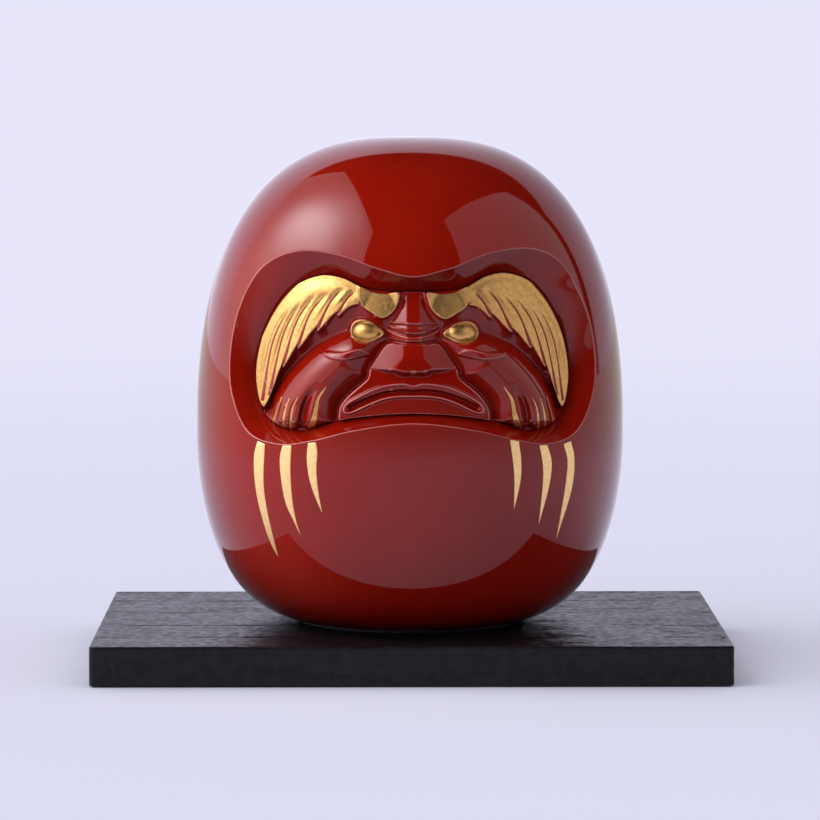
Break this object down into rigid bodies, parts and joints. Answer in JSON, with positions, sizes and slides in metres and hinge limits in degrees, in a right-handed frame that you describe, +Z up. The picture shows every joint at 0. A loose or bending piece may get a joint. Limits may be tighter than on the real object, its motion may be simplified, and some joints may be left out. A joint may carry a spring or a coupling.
{
  "type": "daruma doll",
  "caption": "Round lacquered wishing doll with a scowling face set in a recess, standing on a flat rectangular display board it lifts off.",
  "frame": {"origin": "middle of the display board's underside, on the surface it stands on", "axes": "+Z up, the doll faces -Y, +X to the right as seen from the front, along the board's long side"},
  "size_m": [0.18, 0.1244, 0.1523],
  "materials": {
    "lacquer": "high gloss deep red lacquer",
    "gold": "satin gold paint with a fine grain",
    "steel": "plain",
    "plaster": "cast plaster, matt",
    "felt": "felt",
    "leather": "satin black embossed patchwork",
    "fibreboard": "raw fibreboard",
    "backing": "matt black card"
  },
  "bodies": {
    "board": {"board_core": "fibreboard", "board_wrap": "leather", "board_backing": "backing"},
    "doll": {"body_shell": "lacquer", "face_mask": "lacquer", "brow_left": "gold", "brow_right": "gold", "eye_left": "gold", "eye_right": "gold", "mask_stud_left": "steel", "mask_stud_right": "steel", "mask_washer_left": "steel", "mask_washer_right": "steel", "mask_nut_left": "steel", "mask_nut_right": "steel", "ballast": "plaster", "base_plate": "steel", "base_screw_1": "steel", "base_screw_2": "steel", "base_screw_3": "steel", "base_felt": "felt"}
  },
  "joints": [
    {"name": "doll_lift", "type": "slide", "parent": "board", "child": "doll", "axis": [0, 0, 1], "range_m": [0, 0.05]}
  ]
}
